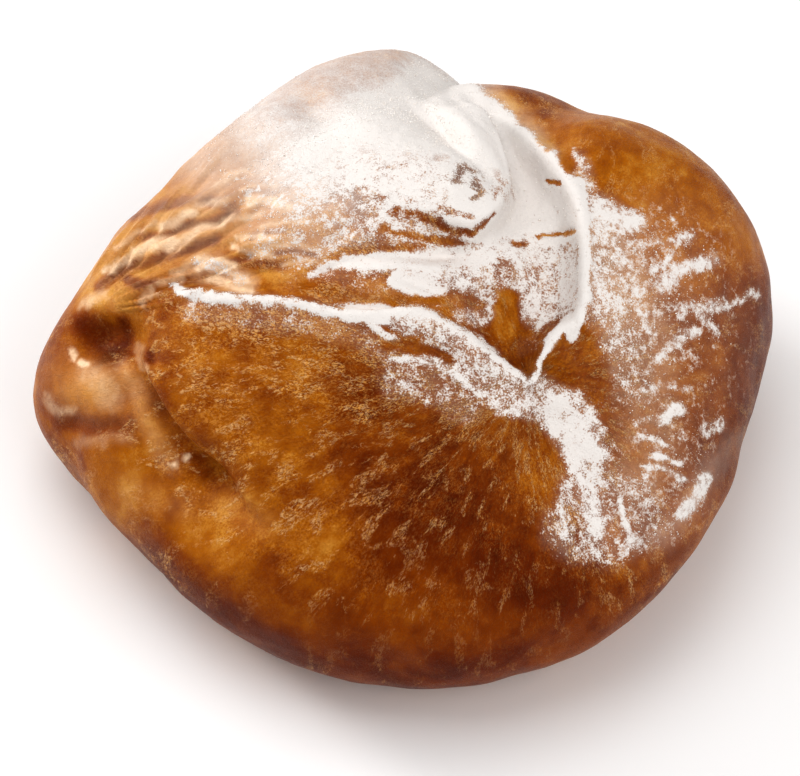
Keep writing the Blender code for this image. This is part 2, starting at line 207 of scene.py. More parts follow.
# Where the icing sugar lies, from 0 where there is none to 1 where it hides the crust.
SUGAR = (
    # The top of the flap.
    Stroke(0.30, 60, 60, ((250, 150), (300, 200), (330, 240))),
    Stroke(0.55, 30, 40, ((280, 190), (330, 200), (400, 215))),
    Stroke(0.90, 40, 50, ((330, 160), (370, 140), (410, 140), (450, 160), (480, 180))),
    Stroke(0.80, 20, 30, ((420, 80), (450, 100), (480, 130))),
    Stroke(0.92, 30, 24, ((345, 175), (400, 180), (460, 185))),
    Stroke(0.66, 14, 16, ((300, 205), (330, 203), (372, 207))),
    Stroke(0.44, 18, 24, ((262, 236), (300, 240), (335, 258))),
    Stroke(0.50, 7, 10, ((200, 262), (222, 270), (240, 278))),
    # The white plane between the flap and the right lip.
    Stroke(1.35, 22, 14, ((462, 100), (496, 128), (522, 160), (542, 205), (540, 240))),
    Stroke(1.30, 24, 14, ((470, 215), (510, 225), (550, 225))),
    Stroke(0.74, 27, 14, ((520, 262), (535, 285), (548, 305))),
    Stroke(1.15, 14, 10, ((556, 165), (566, 205), (566, 238))),
    Stroke(0.66, 16, 12, ((548, 262), (558, 290), (562, 312))),
    Stroke(0.80, 9, 8, ((568, 246), (570, 290), (566, 308))),
    Stroke(1.00, 2, 3, ((561, 250), (563, 280), (561, 305))),
    # The floor that runs out to the left below the knotted end, with its creases.
    Stroke(0.42, 16, 16, ((300, 236), (330, 230), (380, 236), (440, 240))),
    Stroke(0.70, 7, 6, ((378, 223), (400, 226), (440, 234))),
    Stroke(0.62, 6, 6, ((322, 246), (345, 237), (372, 238))),
    Stroke(0.80, 18, 12, ((500, 262), (470, 270), (440, 272), (410, 268))),
    Stroke(1.00, 10, 7, ((505, 248), (460, 256), (420, 259), (380, 262), (345, 264), (315, 270))),
    Stroke(0.30, 12, 10, ((322, 285), (345, 280), (385, 288))),
    Stroke(0.00, 7, 8, ((300, 288), (318, 288), (335, 291))),
    Stroke(0.75, 9, 8, ((440, 284), (470, 288), (492, 296))),
    Stroke(1.00, 8, 5, ((396, 282), (415, 288), (440, 293))),
    Stroke(0.22, 8, 8, ((440, 302), (458, 298), (474, 306))),
    Stroke(0.55, 8, 8, ((462, 315), (480, 318), (490, 312))),
    Stroke(0.00, 4, 4, ((385, 299), (400, 303), (420, 303), (445, 300))),
    Stroke(0.10, 4, 6, ((380, 227), (400, 234), (425, 240), (452, 243))),
    Stroke(0.14, 4, 7, ((298, 273), (318, 263), (345, 250), (365, 247), (400, 247), (440, 243))),
    Stroke(0.14, 4, 8, ((392, 212), (410, 213), (430, 220), (452, 229), (474, 229), (494, 215))),
    Stroke(0.05, 2, 4, ((425, 221), (452, 230), (470, 231))),
    Stroke(0.55, 2, 4, ((383, 234), (408, 241), (438, 247))),
    Stroke(0.70, 3, 4, ((326, 227), (348, 223), (374, 227))),
    Stroke(0.50, 2, 4, ((340, 242), (368, 245), (394, 244))),
    # The hollow where the two lips meet.
    Stroke(0.50, 10, 10, ((503, 265), (506, 290))),
    Stroke(0.15, 10, 12, ((350, 298), (390, 306), (425, 316))),
    Stroke(0.10, 6, 8, ((415, 308), (440, 320), (460, 327), (485, 340))),
    Stroke(0.00, 12, 6, ((507, 300), (506, 318), (500, 335))),
    Stroke(0.00, 13, 8, ((495, 338), (512, 350), (528, 372))),
    Stroke(0.12, 8, 6, ((522, 345), (540, 338), (556, 326))),
    # The front lip.
    Stroke(0.30, 14, 18, ((195, 308), (260, 314), (330, 326), (385, 348))),
    Stroke(0.50, 7, 8, ((196, 296), (240, 299), (290, 304))),
    Stroke(1.05, 5, 6, ((177, 289), (192, 294), (225, 297))),
    Stroke(0.95, 3, 6, ((220, 297), (262, 300), (290, 303))),
    Stroke(1.05, 5, 6, ((288, 303), (325, 310), (350, 315))),
    Stroke(1.15, 9, 5, ((350, 315), (368, 315), (388, 314))),
    Stroke(0.90, 4, 4, ((369, 323), (386, 332), (400, 343))),
    Stroke(0.00, 3, 3, ((390, 299), (395, 306))),
    Stroke(0.60, 12, 10, ((430, 348), (460, 372), (500, 402), (530, 412))),
    Stroke(0.64, 14, 9, ((406, 320), (432, 326), (458, 341), (482, 359), (502, 376), (524, 394))),
    Stroke(1.00, 3, 5, ((398, 311), (430, 317), (455, 328), (480, 344), (502, 363), (526, 383))),
    Stroke(0.05, 5, 4, ((385, 342), (410, 345), (435, 352), (449, 360))),
    Stroke(0.36, 20, 16, ((400, 378), (435, 385), (465, 402))),
    Stroke(0.75, 4, 6, ((392, 358), (415, 358), (438, 366), (470, 386), (498, 402))),
    # The right lobe.
    Stroke(0.20, 60, 60, ((660, 250), (700, 330), (660, 420), (640, 500))),
    Stroke(0.36, 34, 40, ((650, 250), (665, 300), (640, 370))),
    Stroke(0.48, 20, 24, ((632, 240), (630, 290), (618, 340))),
    Stroke(0.64, 20, 20, ((600, 215), (602, 260), (604, 310))),
    Stroke(0.85, 10, 12, ((592, 208), (612, 214), (640, 222))),
    Stroke(0.60, 8, 12, ((568, 155), (584, 170), (588, 200))),
    Stroke(0.45, 3, 4, ((600, 245), (612, 250), (606, 262))),
    Stroke(0.74, 8, 13, ((664, 286), (678, 272), (696, 266), (712, 258))),
    Stroke(0.70, 4, 6, ((650, 272), (664, 266), (672, 256))),
    Stroke(0.60, 5, 8, ((655, 240), (668, 246), (690, 236))),
    Stroke(0.60, 8, 10, ((692, 306), (706, 310), (722, 304))),
    Stroke(0.55, 3, 5, ((700, 318), (712, 328), (716, 336))),
    Stroke(0.66, 4, 8, ((722, 309), (738, 304), (756, 292))),
    Stroke(0.72, 5, 8, ((674, 342), (686, 335), (696, 332))),
    Stroke(0.60, 3, 4, ((660, 356), (668, 346), (676, 340))),
    Stroke(0.50, 4, 6, ((640, 390), (662, 384), (690, 390))),
    Stroke(0.45, 4, 6, ((612, 372), (626, 382), (640, 400))),
    Stroke(0.85, 6, 6, ((661, 419), (670, 413), (679, 411))),
    Stroke(0.50, 3, 5, ((636, 424), (648, 418), (660, 420))),
    Stroke(0.55, 7, 8, ((706, 430), (720, 425))),
    Stroke(0.28, 24, 22, ((650, 455), (690, 465), (680, 500), (650, 530))),
    Stroke(0.80, 3, 4, ((636, 454), (654, 458), (678, 462))),
    Stroke(0.75, 3, 4, ((642, 468), (662, 470), (684, 480))),
    Stroke(0.70, 3, 4, ((634, 440), (650, 438), (668, 446))),
    Stroke(0.85, 7, 8, ((706, 478), (698, 498), (682, 512))),
    Stroke(0.06, 14, 12, ((575, 352), (590, 370), (596, 390))),
    Stroke(0.12, 10, 14, ((612, 405), (622, 430), (634, 456))),
    # The seam patch below the point where the lips meet.
    Stroke(0.65, 12, 12, ((538, 385), (552, 396), (575, 402))),
    Stroke(0.46, 30, 20, ((575, 530), (606, 535), (634, 524))),
    Stroke(0.50, 26, 20, ((584, 492), (606, 494), (634, 502))),
    Stroke(1.00, 20, 16, ((560, 414), (576, 436), (584, 456))),
    Stroke(0.84, 8, 13, ((586, 470), (592, 500), (596, 534))),
    Stroke(0.70, 7, 10, ((576, 402), (590, 414), (598, 432))),
    Stroke(0.80, 2, 5, ((560, 500), (562, 520), (564, 540))),
    Stroke(0.80, 3, 5, ((620, 500), (625, 520), (631, 538))),
    Stroke(0.15, 2, 6, ((571, 514), (575, 530), (579, 546))),
    # The right lip and its tucked branch.
    Stroke(1.20, 6, 4, ((578, 185), (584, 220), (584, 260), (583, 300), (576, 326))),
    Stroke(1.10, 6, 5, ((570, 320), (575, 336))),
    Stroke(1.20, 6, 5, ((575, 318), (562, 330), (551, 344))),
    Stroke(1.10, 3, 5, ((553, 342), (541, 359), (531, 380))),
    # Bare spots.
    Stroke(0.06, 2, 3, ((538, 237), (558, 232), (573, 229))),
    Stroke(0.10, 3, 4, ((516, 243), (526, 246))),
    Stroke(0.00, 7, 7, ((556, 118), (562, 140), (568, 168))),
    Stroke(0.00, 2, 3, ((548, 180), (557, 184))),
    # Thin places on the knotted end.
    Stroke(0.38, 4, 8, ((456, 180), (464, 168), (472, 172))),
    Stroke(0.40, 4, 7, ((474, 184), (480, 192), (476, 200))),
    Stroke(0.50, 2, 5, ((492, 168), (500, 182), (494, 200))),
    Stroke(0.50, 4, 6, ((440, 206), (456, 212), (470, 216))),
    Stroke(0.55, 3, 4, ((437, 157), (447, 160))),
    Stroke(0.62, 4, 6, ((391, 168), (405, 166))),
    Stroke(0.62, 5, 8, ((374, 202), (386, 198))),
    Stroke(0.60, 3, 4, ((359, 190), (364, 187))),
    Stroke(0.70, 3, 5, ((415, 141), (423, 139))),
)

# A thin even veil of sugar, which lets the crust show through, and a painted sheen over the flap's upper
# left.
VEIL_AND_SHEEN = (
    Stroke(0.20, 50, 60, ((200, 200), (260, 190), (320, 200))),
    Stroke(0.36, 36, 50, ((210, 160), (250, 150), (290, 170))),
    Stroke(0.72, 60, 60, ((290, 110), (350, 90), (420, 90))),
    Stroke(0.90, 30, 40, ((380, 110), (440, 120), (480, 150))),
    Stroke(0.10, 10, 12, ((456, 182), (466, 170), (478, 180), (480, 198))),
    Stroke(0.20, 10, 24, ((738, 440), (715, 465), (690, 500), (660, 540))),
)

# Where the skin is stretched thin and pale, and painted highlights and glints: on the tops of the fan's
# ridges and on the nose.
PALE_AND_HIGHLIGHTS = (
    # Painted highlights along the tops of the fan's ridges.
    Stroke(0.16, 36, 50, ((120, 262), (180, 228), (240, 215), (290, 225))),
    Stroke(0.36, 30, 44, ((205, 160), (250, 150), (300, 185))),
    Stroke(0.95, 4, 5, ((108, 272), (128, 259))),
    Stroke(1.05, 5, 6, ((134, 255), (158, 246), (178, 242))),
    Stroke(0.90, 4, 6, ((186, 238), (204, 230), (222, 226))),
    Stroke(1.05, 5, 6, ((164, 230), (178, 220), (194, 214))),
    Stroke(0.65, 4, 6, ((196, 207), (210, 202), (226, 200))),
    Stroke(0.50, 14, 14, ((202, 268), (222, 273), (242, 282))),
    Stroke(1.10, 3, 5, ((198, 259), (217, 262), (236, 267))),
    Stroke(1.20, 4, 6, ((200, 268), (221, 272), (244, 280))),
    Stroke(1.10, 3, 5, ((210, 280), (229, 284), (249, 291))),
    Stroke(0.60, 4, 7, ((172, 272), (186, 270), (198, 264))),
    Stroke(0.90, 3, 5, ((232, 250), (250, 250), (272, 254))),
    Stroke(0.90, 3, 4, ((236, 240), (256, 236), (276, 238))),
    Stroke(0.80, 3, 5, ((222, 222), (240, 216), (262, 214))),
    Stroke(1.00, 5, 6, ((250, 200), (268, 200), (288, 206))),
    Stroke(0.60, 3, 5, ((118, 246), (138, 234), (158, 223))),
    Stroke(0.80, 2, 4, ((262, 229), (282, 223), (304, 223))),
    Stroke(0.80, 2, 4, ((268, 247), (290, 243), (312, 247))),
    Stroke(0.70, 2, 4, ((284, 263), (304, 259), (322, 263))),
    Stroke(0.70, 2, 4, ((240, 190), (258, 184), (278, 182))),
    Stroke(0.70, 2, 4, ((214, 184), (232, 176), (252, 172))),
    Stroke(0.70, 4, 6, ((142, 301), (152, 292))),
    Stroke(0.55, 5, 7, ((84, 305), (104, 294))),
    Stroke(0.55, 4, 6, ((160, 284), (182, 280))),
    # Painted highlights and glints on the nose, and the pale narrow ridge between it and the dome.
    Stroke(0.06, 30, 34, ((60, 380), (90, 392), (120, 400))),
    Stroke(0.36, 12, 16, ((92, 376), (104, 384), (110, 398))),
    Stroke(0.45, 4, 8, ((48, 396), (56, 408), (72, 412))),
    Stroke(1.10, 3, 4, ((83, 363), (86, 365))),
    Stroke(0.90, 3, 5, ((73, 352), (76, 357))),
    Stroke(0.20, 7, 14, ((124, 368), (134, 382), (140, 404))),
    Stroke(0.14, 8, 16, ((146, 420), (160, 446), (172, 466))),
    Stroke(0.20, 5, 10, ((76, 440), (100, 442), (126, 439))),
    Stroke(1.00, 2, 4, ((174, 464), (178, 464))),
    Stroke(1.00, 2, 4, ((186, 459), (189, 457))),
    Stroke(0.32, 3, 4, ((141, 346), (139, 356), (143, 366))),
    Stroke(0.06, 14, 26, ((130, 490), (160, 500), (185, 505))),
    Stroke(0.05, 14, 24, ((222, 500), (245, 512), (262, 524))),
    # The right lobe between the grains, and the strip of crust beside the white plane.
    Stroke(0.30, 30, 34, ((600, 240), (622, 290), (640, 350))),
    Stroke(0.18, 30, 34, ((640, 350), (650, 420), (640, 470))),
    Stroke(0.40, 8, 16, ((492, 92), (522, 118), (548, 156))),
)

# Where the skin is smooth and shines.
SMOOTH = (
    Stroke(0.80, 50, 50, ((90, 300), (150, 240), (230, 200))),
    Stroke(1.00, 44, 30, ((60, 390), (80, 395), (92, 395))),
    Stroke(0.80, 26, 24, ((90, 440), (140, 500), (190, 540))),
    Stroke(0.60, 60, 60, ((620, 120), (690, 180), (740, 260))),
    Stroke(0.60, 46, 40, ((650, 220), (680, 320), (690, 420), (660, 520))),
    Stroke(1.00, 44, 60, ((230, 620), (400, 655), (580, 635))),
    Stroke(0.75, 30, 60, ((400, 560), (470, 575), (530, 590))),
    Stroke(0.80, 20, 30, ((750, 280), (750, 340), (740, 400))),
)
SMOOTH_BEHIND = (Stroke(0.70, 800, 1, ((0, 400), (800, 400))),)

# Where the skin is worn to light flecks.
FLECKED = (
    Stroke(0.90, 20, 40, ((190, 320), (200, 380), (230, 430))),
    Stroke(0.75, 30, 50, ((240, 340), (300, 370), (360, 400))),
    Stroke(0.70, 16, 24, ((210, 312), (270, 320), (330, 332), (380, 352))),
    Stroke(0.85, 22, 30, ((400, 372), (440, 400), (480, 424))),
    Stroke(0.60, 14, 20, ((500, 420), (530, 450), (545, 490), (560, 520))),
    Stroke(0.80, 26, 26, ((300, 240), (350, 236), (420, 242))),
    Stroke(1.00, 14, 14, ((330, 292), (395, 302), (450, 318))),
    Stroke(0.60, 8, 10, ((455, 300), (475, 306), (490, 325))),
)

# How far the crust has baked beyond its usual brown, or 0.5 short of it where it is pale. The strokes also
# paint shade: dark lines in the fan's creases, the pit, the pocket beside the dome's edge, the knot's thin
# spots and the bottom rim; the dome grows darker towards the bottom.
BAKE_AND_SHADE = (
    Stroke(0.14, 50, 60, ((110, 280), (160, 240), (230, 230), (300, 240))),
    # Painted shade: dark lines in the fan's creases.
    Stroke(0.66, 6, 8, ((100, 287), (125, 268), (162, 257), (190, 246), (214, 239))),
    Stroke(0.66, 5, 7, ((145, 238), (165, 236), (187, 226), (210, 223), (236, 213))),
    Stroke(0.58, 5, 7, ((132, 216), (165, 205), (200, 200), (232, 206))),
    Stroke(0.80, 5, 7, ((128, 280), (143, 285), (156, 284))),
    Stroke(0.66, 2, 6, ((252, 237), (276, 231), (300, 233))),
    Stroke(0.66, 2, 6, ((270, 255), (292, 251), (316, 255))),
    Stroke(0.60, 2, 6, ((226, 197), (250, 191), (276, 193))),
    Stroke(0.60, 5, 8, ((236, 262), (256, 262), (280, 266))),
    # The dome, darker towards the bottom.
    Stroke(0.42, 60, 80, ((190, 330), (230, 380), (280, 400))),
    Stroke(0.62, 60, 80, ((380, 430), (430, 470))),
    Stroke(0.82, 50, 80, ((420, 520), (480, 550), (540, 570))),
    Stroke(0.30, 22, 40, ((262, 510), (290, 530), (320, 545))),
    Stroke(0.45, 14, 24, ((505, 430), (520, 455), (528, 480))),
    # The nose, with painted shade in the pit above it, in the band under it and in the pocket beside the
    # dome's edge.
    Stroke(0.38, 20, 24, ((60, 380), (90, 392), (115, 400))),
    Stroke(0.72, 8, 12, ((62, 420), (95, 426), (130, 424))),
    Stroke(0.22, 9, 18, ((128, 372), (140, 400), (152, 430), (168, 460))),
    Stroke(0.84, 14, 22, ((86, 326), (104, 340), (110, 350))),
    Stroke(0.74, 6, 12, ((124, 322), (127, 340), (124, 350))),
    Stroke(0.74, 4, 6, ((149, 353), (151, 360))),
    Stroke(0.52, 9, 16, ((158, 388), (168, 412), (184, 440))),
    Stroke(0.70, 9, 16, ((196, 462), (206, 476), (216, 488))),
    Stroke(0.34, 40, 40, ((120, 470), (170, 510), (210, 540))),
    Stroke(0.24, 14, 30, ((225, 502), (246, 512), (290, 532))),
    Stroke(0.34, 60, 60, ((600, 150), (660, 180), (700, 240))),
    Stroke(0.20, 12, 14, ((505, 300), (505, 330))),
    Stroke(0.34, 16, 14, ((330, 288), (390, 298), (450, 306))),
    Stroke(0.38, 12, 14, ((340, 236), (390, 236), (440, 242))),
    Stroke(0.60, 6, 8, ((392, 212), (430, 220), (474, 229), (494, 215))),
    Stroke(0.20, 8, 8, ((536, 238), (560, 233), (576, 229))),
    Stroke(0.20, 10, 20, ((500, 98), (528, 122), (552, 160))),
    # Painted shade on the knot's thin spots.
    Stroke(0.95, 10, 8, ((456, 182), (464, 168), (476, 176), (480, 196))),
    # The right edge and the bottom rim, darker: browning and painted shade.
    Stroke(0.80, 30, 50, ((760, 300), (765, 380), (730, 460))),
    Stroke(0.86, 26, 70, ((150, 570), (220, 630), (330, 668), (450, 676), (520, 668))),
    Stroke(0.66, 20, 60, ((560, 655), (620, 620), (680, 570))),
)

# The back of the bun, which the photograph hides, in pixels of a picture taken from behind. The sugar
# thins out down the flap's back.
SUGAR_BEHIND = (
    Stroke(0.28, 60, 80, ((330, 500), (410, 530), (500, 450), (570, 380))),
    Stroke(0.55, 40, 50, ((345, 475), (410, 500), (490, 425), (540, 370))),
    Stroke(0.85, 30, 40, ((335, 430), (405, 465), (475, 400))),
    Stroke(1.10, 18, 20, ((300, 290), (318, 340), (330, 400))),
    Stroke(0.30, 24, 40, ((150, 330), (190, 340), (250, 330))),
)
VEIL_BEHIND = (
    Stroke(0.30, 50, 70, ((345, 475), (410, 505), (490, 430), (550, 380))),
    Stroke(0.75, 40, 50, ((340, 420), (405, 455), (475, 390))),
)

FINE_FOLDS = (
    # The fan of ridges at the left, and the dark lines between them.
    Pleats((62, 322), (-62, -6), 11, 1.15, (45, 260)),
    Crease(((126, 258), (150, 247), (175, 240), (200, 233), (224, 225)), 0.7, 1.1),
    Crease(((163, 229), (180, 220), (190, 214), (202, 211)), 0.6, 1.1),
    Crease(((196, 258), (217, 262), (238, 267)), 0.4, 0.7),
    Crease(((196, 266), (221, 272), (246, 281)), 0.5, 0.8),
    Crease(((206, 279), (229, 284), (252, 292)), 0.4, 0.7),
    Crease(((238, 246), (250, 250), (264, 257)), 0.4, 0.8),
    Crease(((236, 242), (255, 239), (272, 235)), 0.4, 0.8),
    Crease(((215, 222), (232, 218), (250, 214)), 0.4, 0.9),
    Crease(((145, 238), (165, 236), (187, 226), (210, 223), (236, 213)), -0.7, 0.9),
    Crease(((100, 287), (125, 268), (162, 257), (190, 246), (214, 239)), -0.9, 1.0),
    Crease(((190, 205), (203, 204), (217, 207)), -0.4, 0.7),
    Crease(((222, 251), (238, 253), (254, 258)), -0.6, 0.8),
    Crease(((262, 190), (278, 192), (296, 187)), -0.4, 0.7),
    # The lips' thin edges, the slit beside the right one, and the swirl of the knotted end.
    Crease(((175, 290), (225, 298), (290, 303), (350, 315), (388, 314)), 0.35, 0.9, 0.1),
    Crease(((560, 165), (583, 225), (584, 295), (577, 330)), 0.35, 1.0, 0.1),
    Crease(((575, 320), (558, 332), (546, 352), (532, 376)), 0.35, 1.0, 0.1),
    Crease(((536, 238), (556, 233), (577, 229)), -0.35, 0.5, 0.3),
    Crease(((392, 62), (430, 78), (470, 112), (499, 147), (507, 179), (500, 205)), -0.5, 1.1),
    Crease(((428, 66), (466, 92), (503, 135), (520, 172)), -0.4, 1.0),
    Crease(((411, 90), (428, 110), (448, 140), (468, 155), (482, 168), (489, 182), (482, 198)), -0.45, 0.9),
    # The side fold and the nose.
    Crease(((150, 345), (163, 388), (186, 434), (217, 477)), -0.55, 2.6),
    Crease(((122, 364), (136, 384), (148, 420), (170, 456)), 0.35, 2.2),
    Crease(((60, 420), (95, 428), (132, 424)), -0.5, 1.6),
    Swelling((100, 338), 22, -2.0),
    Swelling((124, 336), 14, -0.6),
    Swelling((98, 386), 22, 1.0),
    Swelling((70, 392), 14, 0.4),
    Swelling((150, 356), 6, -0.6),
    Swelling((208, 474), 16, -1.0),
)

# Where the lips meet, the way out of the bun there, and a way across it.
MEETING = np.array((17.5, -26.0, 47.0))
MEETING_AXIS = np.array((0.0, -0.5, 0.866))
MEETING_SIDE = np.array((1.0, 0.0, 0.0))
STRAND_LENGTH = 3.2
STRANDS_FROM = 30.0
STRANDS_ROUND, STRANDS_SPREAD = 34.0, 0.4  # how many lie round it that far out, and how fast they grow more

SEED = 7
GRAINS = 14000
GRAIN_SIZE, GRAIN_SPREAD = 0.075, 0.35  # half across, and how much it varies
GRAIN_LEAST, GRAIN_MOST = 0.04, 0.3
GRAIN_STRETCH = (0.6, 1.1)
# How many grains lie on each patch, by its sugar.
GRAINS_BY_SUGAR = ((0.18, 0.3, 0.5, 0.8, 1.0), (0.0, 0.25, 1.0, 0.8, 0.2))
# A grain is an octahedron.
CRYSTAL = np.array(((1, 0, 0), (-1, 0, 0), (0, 1, 0), (0, -1, 0), (0, 0, 1), (0, 0, -1)))
CRYSTAL_FACES = np.array((
    (0, 2, 4), (2, 1, 4), (1, 3, 4), (3, 0, 4), (2, 0, 5), (1, 2, 5), (3, 1, 5), (0, 3, 5),
))

CRUST_SWELLS = ((0.16, 6.0), (0.07, 2.6))  # how high they are and how far apart
TOPS_HIGHLIGHT = 0.8  # how light the painted highlight on the fine folds' tops is, for each millimetre that they rise
SUGAR_THICKNESS = 0.20
SUGAR_LUMPS = ((0.5, 1.6), (0.3, 0.7))  # as shares of the thickness, and how far apart
UNDERSIDE_EASE = 2.0  # the height over which the relief sets in, so that the underside stays flat
WANDERING = ((4.5, 5.0), (3.0, 1.6))  # how many pixels the strokes' edges wander, and how far apart


def wandering(points):
    """Pixels by which the edges of the strokes wander, so that they look strewn and not drawn."""

    def off(point):
        return sum((noise.noise_vector(point / apart).xy * far for far, apart in WANDERING), Vector((0, 0)))

    return np.array([off(Vector(point)) for point in points])


def painted(strokes, seen, ground=0.0):
    """The value that the strokes leave at each point, over an even ground."""
    values = np.full(len(seen), ground)
    for stroke in strokes:
        values = stroke.painted_over(values, seen)
    return values


def rough(points, steps):
    """Noise of the given heights and distances apart, added up."""
    return np.array([
        sum(height * noise.noise(Vector(point) / apart) for height, apart in steps)
        for point in points
    ])


def unit(vectors):
    return vectors / np.linalg.norm(vectors, axis=1)[:, None]


def vectors_of(items, field):
    values = np.empty(len(items) * 3)
    items.foreach_get(field, values)
    return values.reshape(-1, 3)


def facing(normals, side, turn=STROKES_TURN):
    """1 where the skin faces the camera on that side, easing to 0 where it lies edge on to it."""
    return ease(-(normals * side) @ AWAY / turn)


def strewn(points, normals, in_front, behind=()):
    """A painted value for each point, from the strokes of both sides."""
    front = facing(normals, FRONT)
    off = wandering(points)
    value = painted(in_front, in_picture(points) + off) * front
    if behind:
        value += painted(behind, in_picture(points * BACK) + off) * facing(normals, BACK) * (1 - front)
    return value


def sugar_on(points, normals):
    return strewn(points, normals, SUGAR, SUGAR_BEHIND)


def new_object(name, mesh):
    thing = bpy.data.objects.new(name, mesh)
    bpy.context.scene.collection.objects.link(thing)
    return thing


def with_modifiers(thing):
    """The object's mesh once its modifiers have done their work."""
    depsgraph = bpy.context.evaluated_depsgraph_get()
    mesh = bpy.data.meshes.new_from_object(thing.evaluated_get(depsgraph), depsgraph=depsgraph)
    old = thing.data
    thing.modifiers.clear()
    thing.data = mesh
    bpy.data.meshes.remove(old)
    return mesh


def welded(mesh):
    fresh = bmesh.new()
    fresh.from_mesh(mesh)
    bmesh.ops.remove_doubles(fresh, verts=fresh.verts, dist=WELD * MM)
    welded_mesh = bpy.data.meshes.new("crust")
    fresh.to_mesh(welded_mesh)
    fresh.free()
    return welded_mesh


def keep_in_box(points):
    """No point lies outside the CAD bun's box or below what it stands on."""
    low, high = (np.array(corner) / MM for corner in CAD_BOX)
    return np.clip(points, low, high)


def raise_relief(mesh):
    """Moves the fine mesh out along its normals by the finer folds, the crust's swells and the sugar."""
    points = vectors_of(mesh.vertices, "co") / MM
    normals = vectors_of(mesh.vertex_normals, "vector")
    seen = in_picture(points)
    height = rough(points, CRUST_SWELLS)
    height += sum(fold.raised(seen) for fold in FINE_FOLDS) * facing(normals, FRONT, FOLDS_TURN)
    sugar = sugar_on(points, normals)
    lumps = 1 + rough(points, SUGAR_LUMPS)
    height += SUGAR_THICKNESS * ease(sugar) * lumps
    height *= ease(points[:, 2] / UNDERSIDE_EASE)
    points = keep_in_box(points + normals * height[:, None])
    mesh.vertices.foreach_set("co", (points * MM).ravel())
    mesh.update()


def keep_values(mesh):
    """Stores what is painted on the mesh for the materials, by name."""
    points = vectors_of(mesh.vertices, "co") / MM
    normals = vectors_of(mesh.vertex_normals, "vector")
    front = facing(normals, FRONT)
    seen = in_picture(points)
    raised = sum(fold.raised(seen) for fold in FINE_FOLDS if fold.height > 0)
    values = {
        "sugar": sugar_on(points, normals),
        "veil_and_sheen": strewn(points, normals, VEIL_AND_SHEEN, VEIL_BEHIND),
        "pale_and_highlight": strewn(points, normals, PALE_AND_HIGHLIGHTS),
        "smooth": strewn(points, normals, SMOOTH, SMOOTH_BEHIND),
        "flecked": strewn(points, normals, FLECKED),
        # A painted highlight on the fine folds' tops.
        "tops_highlight": TOPS_HIGHLIGHT * np.maximum(raised, 0) * facing(normals, FRONT, FOLDS_TURN),
        "bake_and_shade": 0.5 + (painted(BAKE_AND_SHADE, seen, ground=0.5) - 0.5) * front,
    }
    for name, value in values.items():
        kept = mesh.attributes.new(name, "FLOAT", "POINT")
        kept.data.foreach_set("value", value.astype(np.float32))
    kept = mesh.attributes.new("strands", "FLOAT_VECTOR", "POINT")
    kept.data.foreach_set("vector", strands(points).astype(np.float32).ravel())


def strands(points):
    """Coordinates for the skin's wrinkles, which run out from where the lips meet."""
    off = points - MEETING
    along = off @ MEETING_AXIS
    across = np.stack((off @ MEETING_SIDE, off @ np.cross(MEETING_AXIS, MEETING_SIDE)), axis=1)
    round_it = across / np.maximum(np.linalg.norm(across, axis=1), 0.01)[:, None]
    far = np.hypot(along, np.linalg.norm(across, axis=1))
    count = STRANDS_ROUND * (far[:, None] / STRANDS_FROM) ** STRANDS_SPREAD
    return np.concatenate((far[:, None] / STRAND_LENGTH, round_it * count), axis=1)


def bun():
    """The CAD bun with its fine mesh, relief and painted values."""
    thing = new_object("crust", welded(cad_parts["pastry"].data))
    rounding = thing.modifiers.new("rounding", "SUBSURF")
    rounding.levels = rounding.render_levels = 1
    remesh = thing.modifiers.new("remesh", "REMESH")
    remesh.mode = "VOXEL"
    remesh.voxel_size = VOXEL * MM
    soften = thing.modifiers.new("soften", "SMOOTH")
    soften.iterations = SMOOTHING_PASSES
    mesh = with_modifiers(thing)
    raise_relief(mesh)
    thin = thing.modifiers.new("thin", "DECIMATE")
    triangles = sum(len(face.vertices) - 2 for face in mesh.polygons)
    thin.ratio = min(1.0, MOST_TRIANGLES / triangles)
    mesh = with_modifiers(thing)
    keep_values(mesh)
    mesh.shade_smooth()
    mesh.materials.clear()
    mesh.materials.append(crust_material())
    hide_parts("pastry")
    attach(thing, "root")
    return thing


def turned_at_random(chance, count):
    """Rotation matrices, from unit quaternions."""
    w, x, y, z = unit(chance.normal(size=(count, 4))).T
    rows = (
        (1 - 2 * (y * y + z * z), 2 * (x * y - z * w), 2 * (x * z + y * w)),
        (2 * (x * y + z * w), 1 - 2 * (x * x + z * z), 2 * (y * z - x * w)),
        (2 * (x * z - y * w), 2 * (y * z + x * w), 1 - 2 * (x * x + y * y)),
    )
    return np.moveaxis(np.array(rows), 2, 0)


def scattered(chance, bed, count):
    """Random points on the crust, more of them where GRAINS_BY_SUGAR says so, and the way out of it."""
    mesh = bed.data
    mesh.calc_loop_triangles()
    corners = np.empty(len(mesh.loop_triangles) * 3, np.int32)
    mesh.loop_triangles.foreach_get("vertices", corners)
    corners = corners.reshape(-1, 3)
    points = vectors_of(mesh.vertices, "co") / MM
    sugar = np.empty(len(points), np.float32)
    mesh.attributes["sugar"].data.foreach_get("value", sugar)
    a, b, c = (points[corners[:, side]] for side in range(3))
    across = np.cross(b - a, c - a)
    area = np.linalg.norm(across, axis=1) / 2
    wanted = area * np.interp(sugar[corners].mean(axis=1), *GRAINS_BY_SUGAR)
    chosen = chance.choice(len(corners), count, p=wanted / wanted.sum())
    share = chance.dirichlet((1, 1, 1), count)
    return np.einsum("gs,gsx->gx", share, points[corners[chosen]]), unit(across[chosen])


